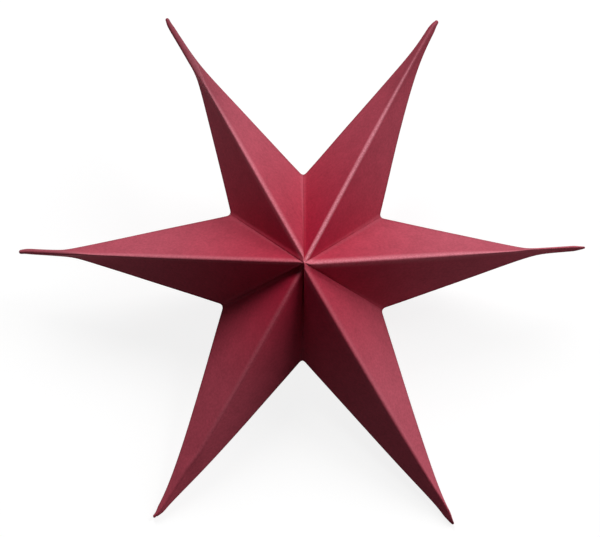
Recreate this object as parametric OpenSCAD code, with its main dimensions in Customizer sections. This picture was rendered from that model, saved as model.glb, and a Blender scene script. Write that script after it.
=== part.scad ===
// Folded paper star: six hollow card points, glued side to side along their valleys.
// It lies on its back pole and on its two lower tips, with its front up.

/* [Star] */
// Reach of an even point, from the star's axis to its tip
tip_reach = 100; // [80:1:150]
// Distance from the star's axis to an even notch between two points
notch_reach = 31.6; // [25:0.1:42]
// Height of the front pole and of the back pole above the middle plane
pole_height = 27; // [20:0.5:38]

/* [Card] */
// Thickness of the card
card = 0.4; // [0.25:0.05:0.5]
// Length of wall that a fold rounds off on each side of its crease
fold_round = 0.7; // [0.4:0.05:1]
// Width of the glue tabs that turn inward along the valleys
tab_width = 6; // [4:0.5:8]
// Glue between the tabs of two neighbouring points
glue_line = 0.1; // [0.05:0.05:0.2]

/* [Tips] */
// Thickness of a pinched tip, with all its layers of card
tip_thickness = 1.8; // [1.6:0.1:2.4]
// Depth of a tip's blunt end, from front to back
tip_depth = 2.4; // [2:0.1:4]

/* [Hidden] */
NODES = [
    "point_right", "point_upper_right", "point_upper_left",
    "point_left", "point_lower_left", "point_lower_right"
];
points = len(NODES);
lower_left = 4;
lower_right = 5;

// Each point's direction, and that of the valley on its left, in degrees from +X
point_turns = [2.9, 61.9, 119, 177.8, 241.1, 299];
valley_turns = [31, 90.5, 146.6, 207.5, 269, 329.2];
// Each point's reach, and the reach of the notch on its left
reach_shares = [0.987, 0.97, 0.984, 1, 1.036, 1.055];
notch_shares = [0.98, 0.965, 0.97, 1.01, 1.07, 1];
// Where each point's inner end lies on the axis, as a share of the front pole's height
front_shares = [0.99, 0.985, 1, 0.955, 0.94, 1];
// How far out along its edge each side of a point closes to the pinched tip, and how gradually
left_pinch_shares = [0.715, 0.835, 0.68, 0.735, 0.925, 0.92];
right_pinch_shares = [0.77, 0.78, 0.75, 0.79, 0.94, 0.91];
left_gradual_shares = [0.03, 0.12, 0.05, 0.04, 0.06, 0.1];
right_gradual_shares = [0.06, 0.2, 0.12, 0.03, 0.1, 0.06];
// How far a tip sways to the left, and how late along the point its sway begins
sway_shares = [0.004, -0.008, 0.007, -0.004, -0.024, 0.012];
sway_power = 4;
// Where the hollow ends, as a share of the distance to the nearer pinch
hollow_share = 0.94;
// A fold takes up at most this much of a wall's width
fold_limit_share = 0.4;

outer_rings = 20;
hollow_rings = 12;
fold_points = 3;
ring_points = 4 * fold_points;

function reach(i) = tip_reach * reach_shares[i];
function before(i) = (i + points - 1) % points;
function mix(a, b, share) = a + (b - a) * share;

// The half angle of a point's base on each side of its crease
function left_turn(i) = valley_turns[i] - point_turns[i];
function right_turn(i) = (point_turns[i] - valley_turns[before(i)] + 360) % 360;

// The notches in the point's own frame: X runs out along its crease, Y to its left
function left_notch(i) = notch_reach * notch_shares[i] * [cos(left_turn(i)), sin(left_turn(i))];
function right_notch(i) =
    notch_reach * notch_shares[before(i)] * [cos(right_turn(i)), -sin(right_turn(i))];

// Closing of a side from 1 at the notch to nearly 0 past the pinch, along a hyperbola
function closing(u, pinch, soft) =
    (sqrt(pow(pinch - u, 2) + pow(soft, 2)) + pinch - u) / (sqrt(pow(pinch, 2) + pow(soft, 2)) + pinch);
function left_width(i, u) =
    mix(tip_thickness / 2, left_notch(i).y, closing(u, left_pinch_shares[i], left_gradual_shares[i]));
function right_width(i, u) =
    mix(tip_thickness / 2, -right_notch(i).y, closing(u, right_pinch_shares[i], right_gradual_shares[i]));
function front_height(i, u) = mix(pole_height * front_shares[i], tip_depth / 2, u);
function back_height(u) = mix(pole_height, tip_depth / 2, u);
function sway(i, u) = reach(i) * sway_shares[i] * pow(u, sway_power);

// Four corners of the card at share u of the way out: front crease, left edge, back crease, right edge
function outer_ring(i, u) =
    let (left = left_notch(i), right = right_notch(i), y = sway(i, u))
    [
        [u * reach(i), y, front_height(i, u)],
        [mix(left.x, reach(i), u), y + left_width(i, u), 0],
        [u * reach(i), y, -back_height(u)],
        [mix(right.x, reach(i), u), y - right_width(i, u), 0]
    ];

// Steepness of a panel between a crease and an edge
function left_steepness(i, u, height) = height * (1 - left_notch(i).x / reach(i)) / left_width(i, u);
function right_steepness(i, u, height) = height * (1 - right_notch(i).x / reach(i)) / right_width(i, u);
// The card's thickness measured straight down from a crease, and square to an edge
function wall_below(steepness) = card * sqrt(1 + pow(steepness, 2));
function wall_beside(steepness) = card * sqrt(1 + 1 / pow(steepness, 2));
function edge_turn(i, notch) = atan2(abs(notch.y) - tip_thickness / 2, reach(i) - notch.x);

// The same four corners on the inside of the card
function inner_ring(i, u) =
    let (
        outer = outer_ring(i, u),
        front_left = left_steepness(i, u, front_height(i, u)),
        front_right = right_steepness(i, u, front_height(i, u)),
        back_left = left_steepness(i, u, back_height(u)),
        back_right = right_steepness(i, u, back_height(u)),
        left_wall = wall_beside((front_left + back_left) / 2),
        right_wall = wall_beside((front_right + back_right) / 2),
        left_edge = edge_turn(i, left_notch(i)),
        right_edge = edge_turn(i, right_notch(i))
    )
    [
        outer[0] - [0, 0, wall_below((front_left + front_right) / 2)],
        outer[1] - left_wall * [sin(left_edge), cos(left_edge), 0],
        outer[2] + [0, 0, wall_below((back_left + back_right) / 2)],
        outer[3] - right_wall * [sin(right_edge), -cos(right_edge), 0]
    ];

// Where the two planes that lie inside the valley planes by some distance meet, seen along the axis
function wedge_corner(i, inset) =
    let (left = left_turn(i), right = right_turn(i))
    inset / sin(left + right) * [cos(left) + cos(right), sin(left) - sin(right)];

// The free edge of the glue tabs, at some distance inside the valley planes
function tab_ring(i, inset) =
    let (
        left = left_notch(i),
        right = right_notch(i),
        corner = wedge_corner(i, inset),
        front = pole_height * front_shares[i],
        left_rise = atan2(front, norm(left)),
        right_rise = atan2(front, norm(right)),
        rise = (left_rise + right_rise) / 2,
        left_in = left * (1 - tab_width / sin(left_rise) / norm(left)),
        right_in = right * (1 - tab_width / sin(right_rise) / norm(right))
    )
    [
        [corner.x, corner.y, front - tab_width / cos(rise)],
        [left_in.x + inset * sin(left_turn(i)), left_in.y - inset * cos(left_turn(i)), 0],
        [corner.x, corner.y, tab_width / cos(rise) - pole_height],
        [right_in.x + inset * sin(right_turn(i)), right_in.y + inset * cos(right_turn(i)), 0]
    ];

// A point carried along an edge until it lies one card thickness inside the valley plane
function along_edge(spot, turn, edge, side) =
    let (
        depth = spot.x * sin(turn) - side * spot.y * cos(turn),
        slide = (card - depth) / sin(turn + edge)
    )
    [spot.x + slide * cos(edge), spot.y - side * slide * sin(edge), 0];

// The line where the tabs turn off the inside of the walls
function tab_root(i) =
    let (
        inner = inner_ring(i, 0),
        corner = wedge_corner(i, card),
        fall = corner.x / reach(i)
    )
    [
        [corner.x, corner.y, mix(inner[0].z, 0, fall)],
        along_edge(inner[1], left_turn(i), edge_turn(i, left_notch(i)), 1),
        [corner.x, corner.y, mix(inner[2].z, 0, fall)],
        along_edge(inner[3], right_turn(i), edge_turn(i, right_notch(i)), -1)
    ];

// One rounded corner of a ring, as a short curve between its two neighbours
function fold_start(corner, other) =
    let (side = other - corner)
    corner + side * min(fold_round / norm(side), fold_limit_share);
function rounded(ring) = [
    for (k = [0:len(ring) - 1])
        let (
            corner = ring[k],
            start = fold_start(corner, ring[(k + len(ring) - 1) % len(ring)]),
            end = fold_start(corner, ring[(k + 1) % len(ring)])
        )
        for (s = [0:fold_points - 1])
            let (t = s / (fold_points - 1))
            mix(mix(start, corner, t), mix(corner, end, t), t)
];

function hollow_reach(i) = hollow_share * min(left_pinch_shares[i], right_pinch_shares[i]);
// All rings of a point: in along the outside, round the tabs, and out along the inside
function point_rings(i) = concat(
    [for (k = [outer_rings:-1:0]) outer_ring(i, k / outer_rings)],
    [tab_ring(i, 0), tab_ring(i, card), tab_root(i)],
    [for (k = [1:hollow_rings]) inner_ring(i, hollow_reach(i) * k / hollow_rings)]
);

// A closed skin over a row of rings, capped at both ends
module skin(rings) {
    last = (len(rings) - 1) * ring_points;
    caps = [
        for (k = [1:ring_points - 2])
            each [[0, k, k + 1], [last, last + k + 1, last + k]]
    ];
    sides = [
        for (r = [0:len(rings) - 2], k = [0:ring_points - 1])
            let (
                here = r * ring_points + k,
                beside = r * ring_points + (k + 1) % ring_points,
                past = here + ring_points,
                past_beside = beside + ring_points
            )
            each [[here, past, past_beside], [here, past_beside, beside]]
    ];
    polyhedron(
        points = [for (ring = rings) each rounded(ring)],
        faces = concat(caps, sides)
    );
}

// The surface that the star lies on, through its back pole and the backs of its lower tips
function turned(spot, turn) =
    [spot.x * cos(turn) - spot.y * sin(turn), spot.x * sin(turn) + spot.y * cos(turn), spot.z];
function tip_back(i) =
    turned([reach(i) + glue_line, sway(i, 1), pole_height - tip_depth / 2], point_turns[i]);
rest_normal = cross(tip_back(lower_left), tip_back(lower_right));
rest_turn = acos(rest_normal.z / norm(rest_normal));
rest_axis = cross(rest_normal, [0, 0, 1]);

// One point of the star, folded from one piece of card
module star_point(i) {
    color("#a83a50")
        rotate(a = rest_turn, v = rest_axis)
            translate([0, 0, pole_height])
                rotate([0, 0, point_turns[i]])
                    translate([glue_line, 0, 0])
                        skin(point_rings(i));
}

module point_right() { star_point(0); }
module point_upper_right() { star_point(1); }
module point_upper_left() { star_point(2); }
module point_left() { star_point(3); }
module point_lower_left() { star_point(lower_left); }
module point_lower_right() { star_point(lower_right); }

point_right();
point_upper_right();
point_upper_left();
point_left();
point_lower_left();
point_lower_right();
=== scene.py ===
import math
from dataclasses import dataclass

import bpy
import numpy as np
from mathutils import Matrix, Vector, noise


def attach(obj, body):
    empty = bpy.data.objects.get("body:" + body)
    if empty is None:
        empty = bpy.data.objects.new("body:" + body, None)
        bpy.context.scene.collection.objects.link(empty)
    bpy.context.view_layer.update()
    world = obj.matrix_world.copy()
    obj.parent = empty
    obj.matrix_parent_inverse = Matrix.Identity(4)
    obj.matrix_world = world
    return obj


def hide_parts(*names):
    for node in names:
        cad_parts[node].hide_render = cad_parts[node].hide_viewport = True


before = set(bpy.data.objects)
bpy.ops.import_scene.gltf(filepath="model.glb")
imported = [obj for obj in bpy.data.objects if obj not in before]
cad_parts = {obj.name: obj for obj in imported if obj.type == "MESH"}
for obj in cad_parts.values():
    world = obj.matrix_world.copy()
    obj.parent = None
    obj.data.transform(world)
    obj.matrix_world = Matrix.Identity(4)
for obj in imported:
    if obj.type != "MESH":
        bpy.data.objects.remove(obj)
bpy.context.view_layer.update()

# Folded paper star: six hollow card points, glued side to side along their valleys.
# It lies on its back pole and its two lower tips. Lengths are in millimetres, but the table, the lamps
# and the camera are set in metres. A share along a point runs from 0 at the pole to 1 at its tip.
MM = 0.001
TINY = 1e-9

# Driving sizes, the same as in the part's source
TIP_REACH = 100.0
NOTCH_REACH = 31.6
POLE_HEIGHT = 27.0
CARD = 0.4
FOLD_ROUND = 0.7
TAB_WIDTH = 6.0
GLUE_LINE = 0.1
TIP_THICKNESS = 1.8
TIP_DEPTH = 2.4
SWAY_POWER = 4
HOLLOW_SHARE = 0.94

# Rounding of the folds. A crease is sharp where the points meet at the pole, and rounder further out.
# No fold takes up more than a share of the panel beside it.
CREASE_ROUND = 2.0
POLE_ROUND = 0.5
POLE_ROUND_REACH = 6.0
EDGE_ROUND = 0.3
SEAM_ROUND = 0.15
FOLD_LIMIT_SHARE = 0.45

# How far the panels bow out, and over what shares the bow starts and, before the pinch, ends
PANEL_BOW = 0.3
BOW_START = 0.2
BOW_END = 0.3

# The unevenness of card folded by hand, and the step that gives each point a wave of its own
HAND_WAVE = 0.1
HAND_WAVE_LENGTH = 22.0
HAND_WAVE_START = 0.12
HAND_WAVE_STEP = 7.3

# Pinched tips: how they are pressed flat, lean, narrow, and are rounded and bent at the end
BLADE_FRONT = 0.7
FLAT_SPAN = (-0.06, 0.06)
TIP_LEAN_SPAN = 0.1
TIP_NARROWING_REACH = 6.0
TIP_END_ROUND = 0.8
END_HOOK_REACH = 4.0

# Where the points meet: the glue has pressed them together, and inner ends and seams have sunk
GLUE_PRESS = 0.02
POLE_CLOSE = 0.25
POLE_CLOSE_REACH = 2.0
CREASE_STRAY_START = 1.6
NOSE_DIP_REACH = 8.0
SEAM_SINK_REACH = 4.0
SEAM_SINK_START = (1.0, 6.0)
NOTCH_FILL = 0.6
NOTCH_FILL_REACH = 2.0

# Paleness from 0 to 1, from wear on creases and seams and painted highlight on creases, less so on the tips,
# and painted shade on the outer edges
BACK_CREASE_WEAR = 0.6
BACK_SEAM_WEAR = 0.1
# Share of a crease's paleness kept on its shaded side, where there is less painted highlight
SHADED_SIDE_SHARE = 0.4
TIP_CREASE_PALENESS = 0.3
TIP_CREASE_PALENESS_SPAN = (0.7, 0.92)
# Painted shade along the outer edges: how strong it is, and over what distance from them it fades
EDGE_SHADE = 0.45
EDGE_SHADE_REACH = (0.2, 1.4)
# A distance from folds and seams at which neither wear nor painted highlight shows
FAR = 100.0

# Painted sheen where panels face the upper lamps: its direction in degrees, and how squarely a panel has to
# face it
SHEEN_TURN = 55
SHEEN_RISE = 36
SHEEN_START = 0.45

# How finely the card is drawn. Its rows lie closer towards the pole, and stop short of the seam.
OUTSIDE_ROWS = 84
ROW_CROWDING = 1.15
SEAM_CLEARANCE = 0.8
SEAM_STEPS = 5
TIP_END_STEPS = 3
INSIDE_ROWS = 24
FOLD_STEPS = 6
PANEL_STEPS = 16

# The four folds of a point, in their order round it
FRONT_CREASE, LEFT_EDGE, BACK_CREASE, RIGHT_EDGE = range(4)
# The two points that the star lies on, by their places among the six
LOWER_LEFT = 4
LOWER_RIGHT = 5


@dataclass
class StarPoint:
    """One folded point. Turns are in degrees from +X, shares are of the driving sizes."""
    node: str
    turn: float
    left_valley: float
    reach_share: float
    left_notch_share: float
    front_share: float
    left_pinch: float
    right_pinch: float
    left_gradual: float
    right_gradual: float
    sway: float
    # How far the crease strays to the left of the middle line, near the pole and at the tip
    crease_in: float
    crease_out: float
    # How pale the crease is at the pole and at the tip, from wear and painted highlight, and how widely
    crease_rub_and_highlight: float
    crease_rub_and_highlight_out: float
    pale_line_width: float
    # The side of the crease that faces the light and gets the painted highlight: 1 for left, -1 for right, 0
    # for both
    lit_side: int
    # How pale the two seams have worn
    left_seam_wear: float
    right_seam_wear: float
    # How far the inner end has sunk at the pole, and how far the tabs have drawn in the two seams
    nose_dip: float = 0
    left_seam_sink: float = 0
    right_seam_sink: float = 0
    # How far the pinched tip leans, up to 1 for its crease over the left edge, and from where
    tip_lean: float = 0
    lean_from: float = 0.7
    # Thickness of the pinched tip, how flat it is pressed, and how much its last millimetres narrow
    blade_share: float = 1
    tip_pressed: float = 0
    end_narrowing: float = 0
    # How far the very end is bent to the left
    end_hook: float = 0
    # How much darker the tip is made, and where on each side that starts and is complete
    tip_darkening: float = 0
    left_darkening_span: tuple = (0.8, 1)
    right_darkening_span: tuple = (0.8, 1)


STAR_POINTS = [
    StarPoint(
        "point_right", turn=2.9, left_valley=31, reach_share=0.987, left_notch_share=0.98, front_share=0.99,
        left_pinch=0.715, right_pinch=0.77, left_gradual=0.03, right_gradual=0.06, sway=0.004,
        crease_in=-0.55, crease_out=0.6,
        crease_rub_and_highlight=0.55, crease_rub_and_highlight_out=0.42, pale_line_width=2, lit_side=1,
        left_seam_wear=0.04, right_seam_wear=0.03,
        tip_lean=0.7, lean_from=0.72, end_narrowing=0.5),
    StarPoint(
        "point_upper_right", turn=61.9, left_valley=90.5, reach_share=0.97, left_notch_share=0.965,
        front_share=0.985,
        left_pinch=0.835, right_pinch=0.78, left_gradual=0.12, right_gradual=0.2, sway=-0.008,
        crease_in=-0.05, crease_out=0,
        crease_rub_and_highlight=0.8, crease_rub_and_highlight_out=0.58, pale_line_width=1.05, lit_side=0,
        left_seam_wear=0.03, right_seam_wear=0.03,
        blade_share=0.85, end_narrowing=0.35, end_hook=-0.3,
        tip_darkening=0.45, left_darkening_span=(0.47, 0.82), right_darkening_span=(0.55, 0.9)),
    StarPoint(
        "point_upper_left", turn=119, left_valley=146.6, reach_share=0.984, left_notch_share=0.97,
        front_share=1,
        left_pinch=0.68, right_pinch=0.75, left_gradual=0.05, right_gradual=0.12, sway=0.0105,
        crease_in=-0.7, crease_out=0.25,
        crease_rub_and_highlight=0.46, crease_rub_and_highlight_out=0.4, pale_line_width=1.8, lit_side=-1,
        left_seam_wear=0.03, right_seam_wear=0.07,
        blade_share=0.92, tip_pressed=1, end_narrowing=0.3, end_hook=-0.35,
        tip_darkening=0.84, left_darkening_span=(0.69, 0.84), right_darkening_span=(0.36, 0.79)),
    StarPoint(
        "point_left", turn=177.8, left_valley=207.5, reach_share=1, left_notch_share=1.01, front_share=0.985,
        left_pinch=0.735, right_pinch=0.79, left_gradual=0.04, right_gradual=0.03, sway=-0.004,
        crease_in=-0.2, crease_out=0.3,
        crease_rub_and_highlight=0.32, crease_rub_and_highlight_out=0.34, pale_line_width=1.5, lit_side=-1,
        left_seam_wear=0.03, right_seam_wear=0.05,
        blade_share=1.15, tip_pressed=0.5, end_narrowing=0.2, end_hook=0.3,
        tip_darkening=0.5, left_darkening_span=(0.66, 0.78), right_darkening_span=(0.74, 0.83)),
    StarPoint(
        "point_lower_left", turn=241.1, left_valley=269, reach_share=1.036, left_notch_share=1.07,
        front_share=0.94,
        left_pinch=0.925, right_pinch=0.94, left_gradual=0.06, right_gradual=0.1, sway=-0.024,
        crease_in=0.7, crease_out=1,
        crease_rub_and_highlight=0.24, crease_rub_and_highlight_out=0, pale_line_width=1.3, lit_side=-1,
        left_seam_wear=0.03, right_seam_wear=0.03,
        nose_dip=2, left_seam_sink=1.6, end_narrowing=0.5, end_hook=-0.45),
    StarPoint(
        "point_lower_right", turn=299, left_valley=329.2, reach_share=1.055, left_notch_share=1,
        front_share=1,
        left_pinch=0.92, right_pinch=0.91, left_gradual=0.1, right_gradual=0.06, sway=0.012,
        crease_in=-0.9, crease_out=1.6,
        crease_rub_and_highlight=0.2, crease_rub_and_highlight_out=0, pale_line_width=1.9, lit_side=1,
        left_seam_wear=0.03, right_seam_wear=0.03,
        right_seam_sink=1.6, tip_lean=1, lean_from=0.86, end_narrowing=0.5),
]


def mix(a, b, share):
    return a + (b - a) * share


def ease(low, high, value):
    """Goes smoothly from 0 at low to 1 at high."""
    share = np.clip((value - low) / (high - low), 0, 1)
    return share * share * (3 - 2 * share)


class CardShape:
    """Where one point's card runs: X goes out along the crease, Y to its left, Z to the front."""

    def __init__(self, point, neighbour_on_right):
        self.point = point
        self.reach = TIP_REACH * point.reach_share
        self.front = POLE_HEIGHT * point.front_share
        self.left_turn = math.radians(point.left_valley - point.turn)
        self.right_turn = math.radians((point.turn - neighbour_on_right.left_valley) % 360)
        left_reach = NOTCH_REACH * point.left_notch_share
        right_reach = NOTCH_REACH * neighbour_on_right.left_notch_share
        self.left_notch = left_reach * np.array([math.cos(self.left_turn), math.sin(self.left_turn)])
        self.right_notch = right_reach * np.array([math.cos(self.right_turn), -math.sin(self.right_turn)])
        self.left_edge = self.edge_turn(self.left_notch)
        self.right_edge = self.edge_turn(self.right_notch)

    def edge_turn(self, notch):
        return math.atan2(abs(notch[1]) - TIP_THICKNESS / 2, self.reach - notch[0])

    def closing(self, u, pinch, gradual):
        """From 1 at the notch to nearly 0 past the pinch, along a hyperbola."""
        return (math.hypot(pinch - u, gradual) + pinch - u) / (math.hypot(pinch, gradual) + pinch)

    def widths(self, u):
        p = self.point
        blade = p.blade_share * TIP_THICKNESS / 2
        left = mix(blade, self.left_notch[1], self.closing(u, p.left_pinch, p.left_gradual))
        right = mix(blade, -self.right_notch[1], self.closing(u, p.right_pinch, p.right_gradual))
        end = ease(self.reach - TIP_NARROWING_REACH, self.reach, u * self.reach)
        narrowing = 1 - p.end_narrowing * end
        return left * narrowing, right * narrowing

    def sway(self, u):
        hook = self.point.end_hook * ease(self.reach - END_HOOK_REACH, self.reach, u * self.reach)
        return self.reach * self.point.sway * u ** SWAY_POWER + hook

    def heights(self, u):
        return mix(self.front, TIP_DEPTH / 2, u), mix(POLE_HEIGHT, TIP_DEPTH / 2, u)

    def crease_stray(self, u, left):
        """How far the front crease lies to the left of the point's middle line."""
        p = self.point
        stray = mix(p.crease_in, p.crease_out, u) * ease(0, CREASE_STRAY_START, u * self.reach)
        leaning = ease(p.lean_from, p.lean_from + TIP_LEAN_SPAN, u)
        return mix(stray, p.tip_lean * left, leaning)

    def outside(self, u):
        """Front crease, left edge, back crease and right edge at share u of the way out."""
        left, right = self.widths(u)
        front, back = self.heights(u)
        y = self.sway(u)
        stray = self.crease_stray(u, left)
        fill = NOTCH_FILL * max(0, 1 - u * self.reach / NOTCH_FILL_REACH) ** 2
        left_fill = fill * self.left_notch / np.linalg.norm(self.left_notch)
        right_fill = fill * self.right_notch / np.linalg.norm(self.right_notch)
        return np.array([
            [u * self.reach, y + stray, front],
            [mix(self.left_notch[0], self.reach, u) + left_fill[0], y + left + left_fill[1], 0],
            [u * self.reach, y, -back],
            [mix(self.right_notch[0], self.reach, u) + right_fill[0], y - right + right_fill[1], 0],
        ])

    def inside(self, u):
        """The same four corners on the inside of the card."""
        left, right = self.widths(u)
        front, back = self.heights(u)
        left_rise = (1 - self.left_notch[0] / self.reach) / left
        right_rise = (1 - self.right_notch[0] / self.reach) / right
        mean_rise = (left_rise + right_rise) / 2
        mean_height = (front + back) / 2
        left_wall = CARD * math.hypot(1, 1 / (mean_height * left_rise))
        right_wall = CARD * math.hypot(1, 1 / (mean_height * right_rise))
        return self.outside(u) - np.array([
            [0, 0, CARD * math.hypot(1, front * mean_rise)],
            [left_wall * math.sin(self.left_edge), left_wall * math.cos(self.left_edge), 0],
            [0, 0, -CARD * math.hypot(1, back * mean_rise)],
            [right_wall * math.sin(self.right_edge), -right_wall * math.cos(self.right_edge), 0],
        ])

    def wedge_corner(self, inset):
        """Where two planes that lie inside the valley planes by some distance meet."""
        left, right = self.left_turn, self.right_turn
        across = np.array([math.cos(left) + math.cos(right), math.sin(left) - math.sin(right)])
        return inset / math.sin(left + right) * across

    def tab_edge(self, inset):
        """The free edge of the glue tabs, at some distance inside the valley planes."""
        left_size = np.linalg.norm(self.left_notch)
        right_size = np.linalg.norm(self.right_notch)
        left_rise = math.atan2(self.front, left_size)
        right_rise = math.atan2(self.front, right_size)
        drop = TAB_WIDTH / math.cos((left_rise + right_rise) / 2)
        left = self.left_notch * (1 - TAB_WIDTH / math.sin(left_rise) / left_size)
        right = self.right_notch * (1 - TAB_WIDTH / math.sin(right_rise) / right_size)
        x, y = self.wedge_corner(inset)
        left_in = inset * np.array([math.sin(self.left_turn), -math.cos(self.left_turn)])
        right_in = inset * np.array([math.sin(self.right_turn), math.cos(self.right_turn)])
        return np.array([
            [x, y, self.front - drop],
            [*(left + left_in), 0],
            [x, y, drop - POLE_HEIGHT],
            [*(right + right_in), 0],
        ])

    def along_edge(self, spot, turn, edge, side):
        """A corner carried along an edge until it lies one card inside the valley plane."""
        depth = spot[0] * math.sin(turn) - side * spot[1] * math.cos(turn)
        slide = (CARD - depth) / math.sin(turn + edge)
        return [spot[0] + slide * math.cos(edge), spot[1] - side * slide * math.sin(edge), 0]

    def tab_root(self):
        """The line where the tabs turn off the inside of the walls."""
        inner = self.inside(0)
        x, y = self.wedge_corner(CARD)
        fall = x / self.reach
        return np.array([
            [x, y, mix(inner[FRONT_CREASE][2], 0, fall)],
            self.along_edge(inner[LEFT_EDGE], self.left_turn, self.left_edge, 1),
            [x, y, mix(inner[BACK_CREASE][2], 0, fall)],
            self.along_edge(inner[RIGHT_EDGE], self.right_turn, self.right_edge, -1),
        ])


@dataclass
class CardRow:
    """One closed row of spots round a point, with notes on each spot."""
    spots: np.ndarray
    fold_distance: np.ndarray
    nearest_fold: np.ndarray
    across_panel: np.ndarray


def rounded_row(corners, crease_round):
    """A row of card through four corners, its four folds rounded."""
    spots = []
    fold_distance = []
    nearest_fold = []
    across_panel = []
    sides = [corners[(k + 1) % 4] - corners[k] for k in range(4)]
    lengths = [max(np.linalg.norm(side), TINY) for side in sides]
    rounds = [crease_round, EDGE_ROUND, crease_round, EDGE_ROUND]
    for k in range(4):
        corner = corners[k]
        following = (k + 1) % 4
        take_before = min(rounds[k], FOLD_LIMIT_SHARE * lengths[k - 1])
        take_after = min(rounds[k], FOLD_LIMIT_SHARE * lengths[k])
        take_next = min(rounds[following], FOLD_LIMIT_SHARE * lengths[k])
        start = corner - sides[k - 1] * take_before / lengths[k - 1]
        end = corner + sides[k] * take_after / lengths[k]
        for step in range(FOLD_STEPS + 1):
            t = step / FOLD_STEPS
            spots.append(mix(mix(start, corner, t), mix(corner, end, t), t))
            away = (1 - 2 * t) * take_before if t < 0.5 else (2 * t - 1) * take_after
            length = lengths[k - 1] if t < 0.5 else lengths[k]
            fold_distance.append(away)
            nearest_fold.append(k)
            across_panel.append(away / length)
        panel_end = corners[following] - sides[k] * take_next / lengths[k]
        for step in range(1, PANEL_STEPS):
            t = (1 - math.cos(math.pi * step / PANEL_STEPS)) / 2
            spots.append(mix(end, panel_end, t))
            along = take_after + t * (lengths[k] - take_after - take_next)
            fold_distance.append(min(along, lengths[k] - along))
            nearest_fold.append(k if along < lengths[k] - along else following)
            across_panel.append(along / lengths[k])
    return CardRow(np.array(spots), np.array(fold_distance), np.array(nearest_fold), np.array(across_panel))


def crease_rounding(shape, u):
    """How far the creases are rounded at share u of the way out."""
    return mix(POLE_ROUND, CREASE_ROUND, ease(0, POLE_ROUND_REACH, u * shape.reach))


def card_side():
    """1 for the spots of a row on the point's left side, -1 on its right, and 0 on its two creases."""
    fold_to_fold = FOLD_STEPS + PANEL_STEPS
    from_crease = np.arange(4 * fold_to_fold) - FOLD_STEPS // 2
    side = np.where(from_crease % (4 * fold_to_fold) < 2 * fold_to_fold, 1, -1)
    side[from_crease % (2 * fold_to_fold) == 0] = 0
    return side


def pressed_flat(shape, u, row):
    """A pinched tip is pressed flat: its sides run parallel, and its front and back are blunt."""
    p = shape.point
    pinch = max(p.left_pinch, p.right_pinch)
    flat = p.tip_pressed * ease(pinch + FLAT_SPAN[0], pinch + FLAT_SPAN[1], u)
    depth = np.minimum(row[:, 2].max() - row[:, 2], row[:, 2] - row[:, 2].min())
    blunt = np.sqrt(1 - np.clip(1 - depth / BLADE_FRONT, 0, 1) ** 2)
    side = card_side()
    left, right = shape.widths(u)
    pressed = row.copy()
    pressed[:, 1] = shape.sway(u) + side * np.where(side > 0, left, right) * blunt
    return mix(row, pressed, flat)


def outward(rows):
    """Directions square to a sheet of rows, away from the point's inside."""
    along = np.gradient(rows, axis=0)
    across = np.roll(rows, -1, axis=1) - np.roll(rows, 1, axis=1)
    square = np.cross(across, along)
    length = np.linalg.norm(square, axis=2, keepdims=True)
    return square / np.maximum(length, TINY)


def springiness(shape, shares, across):
    """How far the card bows out between its folds: not at the glued seams, nor where it is pinched."""
    pinch = min(shape.point.left_pinch, shape.point.right_pinch)
    free = ease(0, BOW_START, shares) * (1 - ease(pinch - BOW_END, pinch, shares))
    return PANEL_BOW * free[:, None] * 4 * across * (1 - across)


def hand_wave(rows, seed):
    """The slight unevenness of card that was folded by hand."""
    wave = np.empty(rows.shape[:2])
    for r, row in enumerate(rows):
        for c, spot in enumerate(row):
            place = Vector(spot) / HAND_WAVE_LENGTH + Vector((HAND_WAVE_STEP * seed, 0, 0))
            wave[r, c] = noise.noise(place)
    return HAND_WAVE * wave


def painted_sheen_side(point):
    """The direction of the painted sheen, as this point's own card has it."""
    turn = math.radians(SHEEN_TURN - point.turn)
    rise = math.radians(SHEEN_RISE)
    return np.array([math.cos(rise) * math.cos(turn), math.cos(rise) * math.sin(turn), math.sin(rise)])


def outside_of(shape, seed):
    """The outside from the tip to near the seams: shares, rows, their final spots, and painted sheen."""
    shares = np.linspace(1, 0, OUTSIDE_ROWS) ** ROW_CROWDING
    shares = shares[shares > SEAM_CLEARANCE * SEAM_ROUND / shape.reach]
    rows = [rounded_row(shape.outside(u), crease_rounding(shape, u)) for u in shares]
    spots = np.array([pressed_flat(shape, u, row.spots) for u, row in zip(shares, rows)])
    away = outward(spots)
    # Painted sheen: paler where a panel faces the upper lamps
    sheen_share = ease(SHEEN_START, 1, away @ painted_sheen_side(shape.point))
    bow = springiness(shape, shares, np.array([row.across_panel for row in rows]))
    calm = ease(0, HAND_WAVE_START, shares)[:, None]
    spots = spots + away * (bow + calm * hand_wave(spots, seed))[:, :, None]
    return shares, rows, spots, sheen_share


def rounded_end(tip):
    """The rounded end of a tip, from its middle nearly out to its sides."""
    middle = tip.mean(axis=0)
    rows = []
    for step in range(TIP_END_STEPS):
        angle = math.pi / 2 * step / TIP_END_STEPS
        shrink = 1 - TIP_END_ROUND * (1 - math.sin(angle)) / (TIP_THICKNESS / 2)
        back_off = TIP_END_ROUND * (1 - math.cos(angle))
        rows.append(middle + (tip - middle) * shrink - np.array([back_off, 0, 0]))
    return rows


def directions(start, end):
    """Directions from one row of spots to another."""
    way = end - start
    return way / np.linalg.norm(way, axis=1, keepdims=True)


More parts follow.
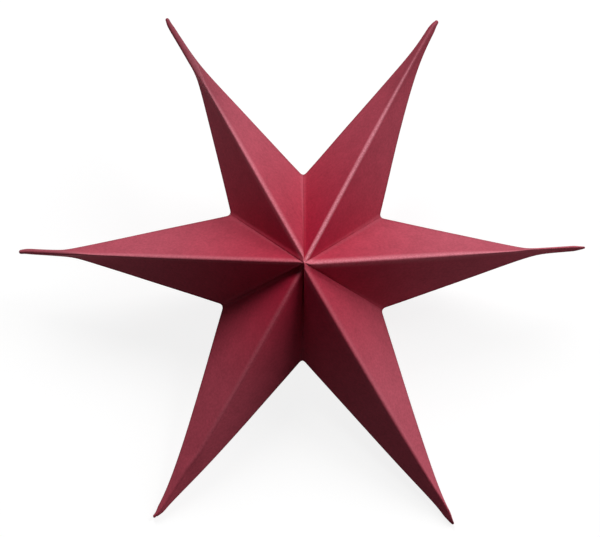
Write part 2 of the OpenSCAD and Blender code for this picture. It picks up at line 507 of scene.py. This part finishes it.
def seam_and_tabs(shape, seam, last_row):
    """The card's turn along the valleys, from the last row of the panels into the tabs, and the tabs."""
    at_crease = np.isin(seam.nearest_fold, (FRONT_CREASE, BACK_CREASE))
    from_crease = np.where(at_crease, seam.fold_distance, POLE_CLOSE_REACH)
    press = GLUE_LINE + GLUE_PRESS + POLE_CLOSE * (1 - ease(0, POLE_CLOSE_REACH, from_crease))
    glued = press[:, None] * np.array([1, 0, 0])
    tab_edge = rounded_row(shape.tab_edge(0), POLE_ROUND).spots - glued
    up_panel = directions(seam.spots, last_row)
    down_tab = directions(seam.spots, tab_edge)
    turned = []
    for step in range(SEAM_STEPS + 1):
        t = step / SEAM_STEPS
        before = mix(seam.spots + up_panel * SEAM_ROUND, seam.spots, t)
        after = mix(seam.spots, seam.spots - glued + down_tab * SEAM_ROUND, t)
        turned.append(mix(before, after, t))
    tab_inside = rounded_row(shape.tab_edge(CARD), POLE_ROUND).spots
    tab_root = rounded_row(shape.tab_root(), POLE_ROUND).spots
    return turned, [tab_edge, tab_inside, tab_root]


def inside_of(shape):
    """The inside of the walls, from the tabs out to where the hollow ends."""
    hollow_end = HOLLOW_SHARE * min(shape.point.left_pinch, shape.point.right_pinch)
    shares = np.linspace(0, hollow_end, INSIDE_ROWS + 1)[1:]
    rows = [rounded_row(shape.inside(u), FOLD_ROUND) for u in shares]
    spots = np.array([row.spots for row in rows])
    across = np.array([row.across_panel for row in rows])
    return spots - outward(spots) * springiness(shape, shares, across)[:, :, None]


def sinking(point, spots, axis_distance, seam_distance):
    """How far each spot on the front has sunk, at the inner end and along the seams."""
    side = card_side()
    drawn_in = np.where(side > 0, point.left_seam_sink, np.where(side < 0, point.right_seam_sink, 0))
    near_seam = (1 - ease(0, SEAM_SINK_REACH, seam_distance)) * ease(*SEAM_SINK_START, axis_distance)
    dip = point.nose_dip * (1 - ease(0, NOSE_DIP_REACH, axis_distance))
    return ease(0, POLE_HEIGHT / 2, spots[:, :, 2]) * (dip + drawn_in * near_seam)


def pale_creases(point, folds, shares):
    """How pale each crease is, spot by spot, from wear and painted highlight."""
    front = mix(point.crease_rub_and_highlight, point.crease_rub_and_highlight_out, shares)
    back = np.where(folds == BACK_CREASE, BACK_CREASE_WEAR, 0)
    paleness = np.where(folds == FRONT_CREASE, front, back) * mix(1, TIP_CREASE_PALENESS, ease(*TIP_CREASE_PALENESS_SPAN, shares))
    # Painted highlight: the shaded side of each crease keeps less of its paleness
    return np.where(card_side() * point.lit_side < 0, SHADED_SIDE_SHARE, 1) * paleness


def worn_seams(point, spots):
    """How pale the seams have worn, on the front and on the back."""
    front = np.where(card_side() > 0, point.left_seam_wear, point.right_seam_wear)
    return np.where(spots[:, :, 2] > 0, front, BACK_SEAM_WEAR)


def darker_tips_and_shaded_edges(point, folds, fold_distance, shares):
    """How much darker the tip is made towards its end, and the painted shade along the outer edges."""
    left_darker = ease(*point.left_darkening_span, shares)
    right_darker = ease(*point.right_darkening_span, shares)
    darker_tip = point.tip_darkening * np.where(card_side() > 0, left_darker, right_darker)
    at_edge = np.isin(folds, (LEFT_EDGE, RIGHT_EDGE))
    # Painted shade along the outer edges, where the card turns away from the light
    painted_edge_shade = EDGE_SHADE * at_edge * (1 - ease(*EDGE_SHADE_REACH, fold_distance))
    return np.maximum(darker_tip, painted_edge_shade)


def rest_turn():
    """The turn that lays the star on its back pole and the backs of its two lower tips."""
    backs = []
    for index in (LOWER_LEFT, LOWER_RIGHT):
        point = STAR_POINTS[index]
        reach = TIP_REACH * point.reach_share
        back = Vector((reach + GLUE_LINE, reach * point.sway, POLE_HEIGHT - TIP_DEPTH / 2))
        backs.append(Matrix.Rotation(math.radians(point.turn), 3, "Z") @ back)
    floor_normal = backs[0].cross(backs[1]).normalized()
    return floor_normal.rotation_difference(Vector((0, 0, 1))).to_matrix()


REST = rest_turn()
STAR_MIDDLE = REST @ Vector((0, 0, POLE_HEIGHT))
STAR_NORMAL = REST @ Vector((0, 0, 1))


def folded_point(index):
    """One point of the star as a closed skin of card, in its place in the frame."""
    point = STAR_POINTS[index]
    shape = CardShape(point, STAR_POINTS[index - 1])
    shares, rows, outside, sheen_share = outside_of(shape, index + 1)
    tip_end = rounded_end(outside[0])
    outside[0] -= np.array([TIP_END_ROUND, 0, 0])
    seam = rounded_row(shape.outside(0), POLE_ROUND)
    turned, tabs = seam_and_tabs(shape, seam, outside[-1])
    hidden = [*tabs, *inside_of(shape)]
    spots = np.array([*tip_end, *outside, *turned, *hidden])

    def all_rows(at_tip, on_outside, at_seam, where_hidden):
        """Notes for all rows, from those for the tip's end, the outside, the seam and the hidden rows."""
        return np.array([at_tip] * len(tip_end) + list(on_outside)
                        + [at_seam] * len(turned) + [where_hidden] * len(hidden))

    nowhere = np.full(len(seam.spots), FAR)
    fold_distance = all_rows(
        rows[0].fold_distance, [row.fold_distance for row in rows], seam.fold_distance, nowhere)
    folds = all_rows(
        rows[0].nearest_fold, [row.nearest_fold for row in rows], seam.nearest_fold, seam.nearest_fold)
    shares = all_rows(1, shares, 0, 0)[:, None]
    sheen_share = all_rows(sheen_share[0], sheen_share, sheen_share[-1], sheen_share[-1])
    seam_distance = np.linalg.norm(spots - seam.spots, axis=2)
    axis_distance = np.hypot(spots[:, :, 0], spots[:, :, 1])

    spots[:, :, 2] -= sinking(point, spots, axis_distance, seam_distance)
    seam_distance[-len(hidden):] = FAR
    # Notes for the material, among them the painted sheen on panels that face the upper lamps
    notes = {
        "fold_mm": fold_distance / point.pale_line_width,
        "seam_mm": seam_distance,
        "axis_mm": axis_distance,
        "crease_rub_and_highlight": pale_creases(point, folds, shares),
        "seam_wear": worn_seams(point, spots),
        "painted_sheen": sheen_share,
        "dark_tips_and_edge_shade": darker_tips_and_shaded_edges(point, folds, fold_distance, shares),
    }
    place = (Matrix.Translation(STAR_MIDDLE) @ REST.to_4x4()
             @ Matrix.Rotation(math.radians(point.turn), 4, "Z")
             @ Matrix.Translation((GLUE_LINE, 0, 0)))
    return card_skin(f"card_{point.node}", spots, place, notes)


def card_skin(name, spots, place, notes):
    """A closed mesh over rows of spots, capped at both ends, with the notes that its material reads."""
    rows, columns = spots.shape[:2]
    vertices = [Vector(spot) for spot in spots.reshape(-1, 3)]
    faces = []
    for r in range(rows - 1):
        for c in range(columns):
            beside = (c + 1) % columns
            faces.append((r * columns + c, (r + 1) * columns + c,
                          (r + 1) * columns + beside, r * columns + beside))
    ends = (0, rows - 1)
    for row, turn in zip(ends, (1, -1)):
        middle = len(vertices)
        vertices.append(Vector(spots[row].mean(axis=0)))
        for c in range(columns):
            pair = (row * columns + c, row * columns + (c + 1) % columns)
            faces.append((middle, *pair[::turn]))
    mesh = bpy.data.meshes.new(name)
    mesh.from_pydata([(place @ v) * MM for v in vertices], [], faces)
    mesh.shade_smooth()
    for note_name, values in notes.items():
        note = mesh.attributes.new(note_name, "FLOAT", "POINT")
        at_ends = [values[row].mean() for row in ends]
        note.data.foreach_set("value", np.concatenate([values.ravel(), at_ends]).astype(np.float32))
    mesh.validate()
    piece = bpy.data.objects.new(name, mesh)
    bpy.context.collection.objects.link(piece)
    return piece


def linear(hex_colour):
    """An sRGB hex colour as Blender's linear colour."""
    channels = [int(hex_colour[i:i + 2], 16) / 255 for i in (1, 3, 5)]
    return [c / 12.92 if c <= 0.04045 else ((c + 0.055) / 1.055) ** 2.4 for c in channels] + [1.0]


def add_node(tree, kind, settings=None, values=None, links=None):
    """Adds a node, sets its properties and input values, and links its inputs from other sockets."""
    node = tree.nodes.new(kind)
    for name, value in (settings or {}).items():
        setattr(node, name, value)
    for name, value in (values or {}).items():
        node.inputs[name].default_value = value
    for name, socket in (links or {}).items():
        tree.links.new(socket, node.inputs[name])
    return node


def per_metre(size_mm):
    """Scale of a pattern whose features are this many millimetres apart."""
    return 1 / (size_mm * MM)


def new_material(name):
    """An empty material and the node that gives its surface."""
    material = bpy.data.materials.new(name)
    material.use_nodes = True
    material.node_tree.nodes.clear()
    return material, add_node(material.node_tree, "ShaderNodeOutputMaterial")


def dyed_card():
    """Uncoated craft card, dyed in the pulp, scored and folded by hand.

    The eye sees a dull, faintly cloudy red with short fibres. Along its folds the top fibres are broken,
    which leaves a pale, speckled pink line. Painted highlight makes it paler on the side of each crease that
    faces the light.
    """
    material, out = new_material("dyed_uncoated_card")
    tree = material.node_tree
    place = add_node(tree, "ShaderNodeTexCoord").outputs["Object"]
    notes = {}
    for name in ("fold_mm", "seam_mm", "axis_mm", "crease_rub_and_highlight", "seam_wear", "painted_sheen", "dark_tips_and_edge_shade"):
        notes[name] = add_node(tree, "ShaderNodeAttribute", {"attribute_name": name}).outputs["Fac"]

    # Pulp clouds are about 6 mm across
    clouds = add_node(
        tree, "ShaderNodeTexNoise", values={"Scale": per_metre(6), "Detail": 3, "Roughness": 0.55},
        links={"Vector": place}).outputs["Fac"]
    # Fibres are about 0.2 mm wide and are drawn as 0.9 mm flecks, so that they show
    flecks = add_node(
        tree, "ShaderNodeTexNoise", values={"Scale": per_metre(0.9), "Detail": 4, "Roughness": 0.65},
        links={"Vector": place}).outputs["Fac"]
    # Breaks in the top fibres along a fold are about 0.6 mm apart
    breaks = add_node(
        tree, "ShaderNodeTexNoise", values={"Scale": per_metre(0.6), "Detail": 2, "Roughness": 0.6},
        links={"Vector": place}).outputs["Fac"]
    mottle = add_node(
        tree, "ShaderNodeMix", {"data_type": "FLOAT"}, {"Factor": 0.7},
        {"A": clouds, "B": flecks}).outputs["Result"]
    mottle = add_node(
        tree, "ShaderNodeMapRange",
        values={"From Min": 0.3, "From Max": 0.7, "To Min": 0.8, "To Max": 1.2},
        links={"Value": mottle}).outputs["Result"]

    # The colour is deepest and darkest round the pole and turns paler outward to 60 mm
    paler_outward = add_node(
        tree, "ShaderNodeMapRange", {"interpolation_type": "SMOOTHSTEP"},
        {"From Min": 0, "From Max": 60}, {"Value": notes["axis_mm"]}).outputs["Result"]
    dye = add_node(
        tree, "ShaderNodeMix", {"data_type": "RGBA"},
        {"A": linear("#ac1a37"), "B": linear("#b04657")}, {"Factor": paler_outward}).outputs["Result"]
    # Painted sheen: panels that face the upper lamps are paler, less so near the pole, in full from 45 mm
    # outward
    sheen_amount = add_node(
        tree, "ShaderNodeMapRange", values={"To Max": 0.18},
        links={"Value": notes["painted_sheen"]}).outputs["Result"]
    sheen_reach = add_node(
        tree, "ShaderNodeMapRange", values={"From Max": 45, "To Min": 0.75, "To Max": 1.0},
        links={"Value": notes["axis_mm"]}).outputs["Result"]
    sheen_amount = add_node(
        tree, "ShaderNodeMath", {"operation": "MULTIPLY"}, links={0: sheen_amount, 1: sheen_reach}).outputs[0]
    with_sheen = add_node(
        tree, "ShaderNodeMix", {"data_type": "RGBA"}, {"B": linear("#b07480")},
        {"Factor": sheen_amount, "A": dye}).outputs["Result"]
    pulp = add_node(
        tree, "ShaderNodeVectorMath", {"operation": "SCALE"}, links={0: with_sheen, "Scale": mottle}).outputs[0]

    # Worn folds with painted highlight: palest at the crease, fading out to both sides of it, and broken up
    # by the fibres
    near_fold = add_node(
        tree, "ShaderNodeMapRange", {"interpolation_type": "SMOOTHSTEP"},
        {"From Min": 2.7, "From Max": 0.4}, {"Value": notes["fold_mm"]}).outputs["Result"]
    broken = add_node(
        tree, "ShaderNodeMapRange",
        values={"From Min": 0.35, "From Max": 0.62, "To Min": 0.55, "To Max": 1.0},
        links={"Value": breaks}).outputs["Result"]
    crease = add_node(
        tree, "ShaderNodeMath", {"operation": "MULTIPLY"},
        links={0: near_fold, 1: notes["crease_rub_and_highlight"]}).outputs[0]
    crease = add_node(
        tree, "ShaderNodeMath", {"operation": "MULTIPLY"}, links={0: crease, 1: broken}).outputs[0]
    # The turned edges along the valleys are a little paler, for under 2 mm
    near_seam = add_node(
        tree, "ShaderNodeMapRange", {"interpolation_type": "SMOOTHSTEP"},
        {"From Min": 1.7, "From Max": 0.8}, {"Value": notes["seam_mm"]}).outputs["Result"]
    seam = add_node(
        tree, "ShaderNodeMath", {"operation": "MULTIPLY"},
        links={0: near_seam, 1: notes["seam_wear"]}).outputs[0]
    pale_marks = add_node(
        tree, "ShaderNodeMath", {"operation": "MAXIMUM"}, links={0: crease, 1: seam}).outputs[0]
    colour = add_node(
        tree, "ShaderNodeMix", {"data_type": "RGBA"}, {"B": linear("#f7a0ae")},
        {"Factor": pale_marks, "A": pulp}).outputs["Result"]

    # The pinched tips are made darker towards their ends, and the outer edges carry painted shade
    shade = add_node(
        tree, "ShaderNodeMapRange", values={"To Min": 1.0, "To Max": 0.5},
        links={"Value": notes["dark_tips_and_edge_shade"]}).outputs["Result"]
    colour = add_node(
        tree, "ShaderNodeVectorMath", {"operation": "SCALE"}, links={0: colour, "Scale": shade}).outputs[0]

    # The felt side's tooth is about 0.15 mm apart and is drawn at 0.5 mm and 0.05 mm deep, so that it shows
    tooth = add_node(
        tree, "ShaderNodeTexNoise", values={"Scale": per_metre(0.5), "Detail": 3, "Roughness": 0.6},
        links={"Vector": place}).outputs["Fac"]
    bump = add_node(
        tree, "ShaderNodeBump", values={"Strength": 0.5, "Distance": 0.05 * MM},
        links={"Height": tooth}).outputs["Normal"]
    dull = add_node(
        tree, "ShaderNodeMapRange", values={"To Min": 0.7, "To Max": 0.85},
        links={"Value": flecks}).outputs["Result"]
    card = add_node(
        tree, "ShaderNodeBsdfPrincipled", values={"Specular IOR Level": 0.11},
        links={"Base Color": colour, "Roughness": dull, "Normal": bump})
    tree.links.new(card.outputs["BSDF"], out.inputs["Surface"])
    return material


def seen_directly(tree):
    """1 where the camera sees a surface, or sees it in a gloss or through glass, and else 0."""
    path = add_node(tree, "ShaderNodeLightPath").outputs
    in_gloss = add_node(
        tree, "ShaderNodeMath", {"operation": "MAXIMUM"},
        links={0: path["Is Camera Ray"], 1: path["Is Glossy Ray"]}).outputs[0]
    return add_node(
        tree, "ShaderNodeMath", {"operation": "MAXIMUM"},
        links={0: in_gloss, 1: path["Is Transmission Ray"]}).outputs[0]


def white_table():
    """A white painted table top, brushed smooth and matt.

    The eye sees it nearly white, with the star's pale shadow on it. It throws back less light than it shows.
    """
    material, out = new_material("white_painted_table")
    tree = material.node_tree
    paint = add_node(tree, "ShaderNodeBsdfDiffuse", values={"Color": linear("#bcbcbc")}).outputs[0]
    shadow = add_node(tree, "ShaderNodeBsdfDiffuse", values={"Color": linear("#7c7c7c")}).outputs[0]
    white = add_node(tree, "ShaderNodeEmission", values={"Strength": 0.86}).outputs[0]
    shown = add_node(tree, "ShaderNodeAddShader", links={0: shadow, 1: white}).outputs[0]
    top = add_node(
        tree, "ShaderNodeMixShader",
        links={0: seen_directly(tree), 1: paint, 2: shown}).outputs[0]
    tree.links.new(top, out.inputs["Surface"])
    return material


def lay_table():
    """A table top wide enough to fill every view."""
    half = 4.0
    mesh = bpy.data.meshes.new("table_top")
    corners = [(-half, -half, 0), (half, -half, 0), (half, half, 0), (-half, half, 0)]
    mesh.from_pydata(corners, [], [(0, 1, 2, 3)])
    mesh.materials.append(white_table())
    table = bpy.data.objects.new("table_top", mesh)
    bpy.context.collection.objects.link(table)


def light_room():
    """A white room that gives little light of its own, two soft lamps above and a low one at the right."""
    world = bpy.data.worlds.new("pale_room")
    bpy.context.scene.world = world
    world.use_nodes = True
    tree = world.node_tree
    tree.nodes.clear()
    out = add_node(tree, "ShaderNodeOutputWorld")
    level = add_node(
        tree, "ShaderNodeMapRange", values={"To Min": 0.01, "To Max": 1.0},
        links={"Value": seen_directly(tree)}).outputs["Result"]
    room = add_node(tree, "ShaderNodeBackground", links={"Strength": level})
    tree.links.new(room.outputs[0], out.inputs["Surface"])

    hang_lamp("upper_lamp", turn=100, rise=30, spread=14, level=0.68)
    hang_lamp("upper_right_lamp", turn=40, rise=30, spread=14, level=0.54)
    hang_lamp("low_side_lamp", turn=0, rise=6, spread=8, level=0.12)


def hang_lamp(name, turn, rise, spread, level):
    """A round soft lamp. Turn and rise are its direction from the star, and spread is its half angle,
    all in degrees. At level 1 a white surface that faces the lamp is drawn white.
    """
    distance = 2.4
    lamp = bpy.data.lights.new(name, "AREA")
    lamp.shape = "DISK"
    lamp.size = 2 * distance * math.tan(math.radians(spread))
    lamp.energy = level * (math.pi * distance) ** 2
    lamp_object = bpy.data.objects.new(name, lamp)
    bpy.context.collection.objects.link(lamp_object)
    turn, rise = math.radians(turn), math.radians(rise)
    flat = math.cos(rise)
    towards = REST @ Vector((flat * math.cos(turn), flat * math.sin(turn), math.sin(rise)))
    lamp_object.location = STAR_MIDDLE * MM + towards * distance
    lamp_object.rotation_euler = towards.to_track_quat("Z", "Y").to_euler()


def set_camera():
    """Looks at the star along its own axis. Its middle plane is drawn at 2.85 pixels to the millimetre."""
    picture_width = 600
    picture_height = 537
    pixels_per_mm = 2.85
    pole_pixel = (304, 263)
    distance = 0.8
    data = bpy.data.cameras.new("head_on")
    data.sensor_width = 36
    data.lens = data.sensor_width * distance / (picture_width / pixels_per_mm * MM)
    camera = bpy.data.objects.new("head_on", data)
    bpy.context.collection.objects.link(camera)
    aside = (picture_width / 2 - pole_pixel[0]) / pixels_per_mm
    above = (pole_pixel[1] - picture_height / 2) / pixels_per_mm
    aim = STAR_MIDDLE + REST @ Vector((aside, above, 0))
    camera.matrix_world = Matrix.Translation(aim * MM + STAR_NORMAL * distance) @ REST.to_4x4()
    bpy.context.scene.camera = camera


set_camera()
light_room()
lay_table()

card_material = dyed_card()
for index, point in enumerate(STAR_POINTS):
    piece = folded_point(index)
    piece.data.materials.append(card_material)
    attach(piece, "root")
    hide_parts(point.node)

bpy.context.scene.view_settings.view_transform = "Standard"
